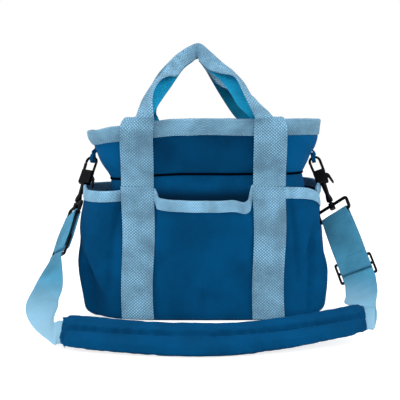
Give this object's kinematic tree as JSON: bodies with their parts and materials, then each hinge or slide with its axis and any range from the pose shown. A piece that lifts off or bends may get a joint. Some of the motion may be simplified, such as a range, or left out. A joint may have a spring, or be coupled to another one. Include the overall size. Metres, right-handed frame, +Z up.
{
  "type": "grooming bag",
  "caption": "Soft open-topped tote with a flared bound rim, outer pockets, webbing handles and a padded shoulder strap clipped on with swivel snap hooks.",
  "frame": {"origin": "middle of the flat base, on the surface that the bag stands on", "axes": "+Z up, -Y towards the front face and the shoulder pad, +X to the right seen from the front"},
  "size_m": [0.4113, 0.3647, 0.3292],
  "materials": {
    "petrol_fabric": "woven nylon, petrol blue",
    "light_webbing": "woven webbing and tape, light blue",
    "dark_cord": "thin round cord, near black",
    "dark_hardware": "moulded acetal, black, satin",
    "lining_fabric": "thin coated lining, dark blue",
    "board": "polyethylene stiffener sheet, grey",
    "foam": "closed-cell foam, off-white"
  },
  "bodies": {
    "bag": {"base_board": "board", "base_panel": "petrol_fabric", "body_panel": "petrol_fabric", "collar_panel": "petrol_fabric", "front_left_strap": "light_webbing", "front_pocket": "petrol_fabric", "front_pocket_binding": "light_webbing", "front_right_strap": "light_webbing", "left_hook_tab": "petrol_fabric", "left_side_pocket": "petrol_fabric", "left_side_pocket_binding": "light_webbing", "lining": "lining_fabric", "rear_left_strap": "light_webbing", "rear_pocket": "petrol_fabric", "rear_pocket_binding": "light_webbing", "rear_right_strap": "light_webbing", "right_hook_tab": "petrol_fabric", "right_side_pocket": "petrol_fabric", "right_side_pocket_binding": "light_webbing", "rim_binding": "light_webbing", "waist_piping": "dark_cord"},
    "front_handle": {"front_handle": "light_webbing"},
    "rear_handle": {"rear_handle": "light_webbing"},
    "shoulder_strap": {"left_strap_eye": "dark_hardware", "right_strap_eye": "dark_hardware", "left_slider": "dark_hardware", "right_slider": "dark_hardware", "left_strap_webbing": "light_webbing", "right_strap_webbing": "light_webbing", "pad_front_cover": "petrol_fabric", "pad_back_cover": "petrol_fabric", "pad_foam": "foam"},
    "left_hook": {"left_hook": "dark_hardware", "left_gate_pin": "dark_hardware"},
    "right_hook": {"right_hook": "dark_hardware", "right_gate_pin": "dark_hardware"},
    "left_gate": {"left_gate": "dark_hardware"},
    "right_gate": {"right_gate": "dark_hardware"}
  },
  "joints": [
    {"name": "front_handle_hinge", "type": "hinge", "parent": "bag", "child": "front_handle", "pos_m": [0, -0.09825, 0.1575], "axis": [1, 0, 0], "range_deg": [0, 140]},
    {"name": "rear_handle_hinge", "type": "hinge", "parent": "bag", "child": "rear_handle", "pos_m": [0, 0.09825, 0.1575], "axis": [-1, 0, 0], "range_deg": [0, 140]},
    {"name": "shoulder_strap_swing", "type": "hinge", "parent": "bag", "child": "shoulder_strap", "pos_m": [0, 0.01, 0.187], "axis": [-1, 0, 0], "range_deg": [0, 55]},
    {"name": "left_hook_swivel", "type": "hinge", "parent": "shoulder_strap", "child": "left_hook", "pos_m": [-0.1393, 0.01, 0.187], "axis": [-0.25, -0.49, -0.8351], "range_deg": [-15, 15]},
    {"name": "left_gate_hinge", "type": "hinge", "parent": "left_hook", "child": "left_gate", "pos_m": [-0.1463, -0.00372, 0.16362], "axis": [0.1681, 0.8274, -0.5358], "range_deg": [0, 12], "stiffness_Nm_per_rad": 0.02, "springref_deg": -20.05},
    {"name": "right_hook_swivel", "type": "hinge", "parent": "shoulder_strap", "child": "right_hook", "pos_m": [0.1393, 0.01, 0.187], "axis": [0.275, -0.49, -0.8272], "range_deg": [-15, 15]},
    {"name": "right_gate_hinge", "type": "hinge", "parent": "right_hook", "child": "right_gate", "pos_m": [0.147, -0.00372, 0.16384], "axis": [0.167, 0.8716, -0.4608], "range_deg": [0, 12], "stiffness_Nm_per_rad": 0.02, "springref_deg": -20.05}
  ]
}
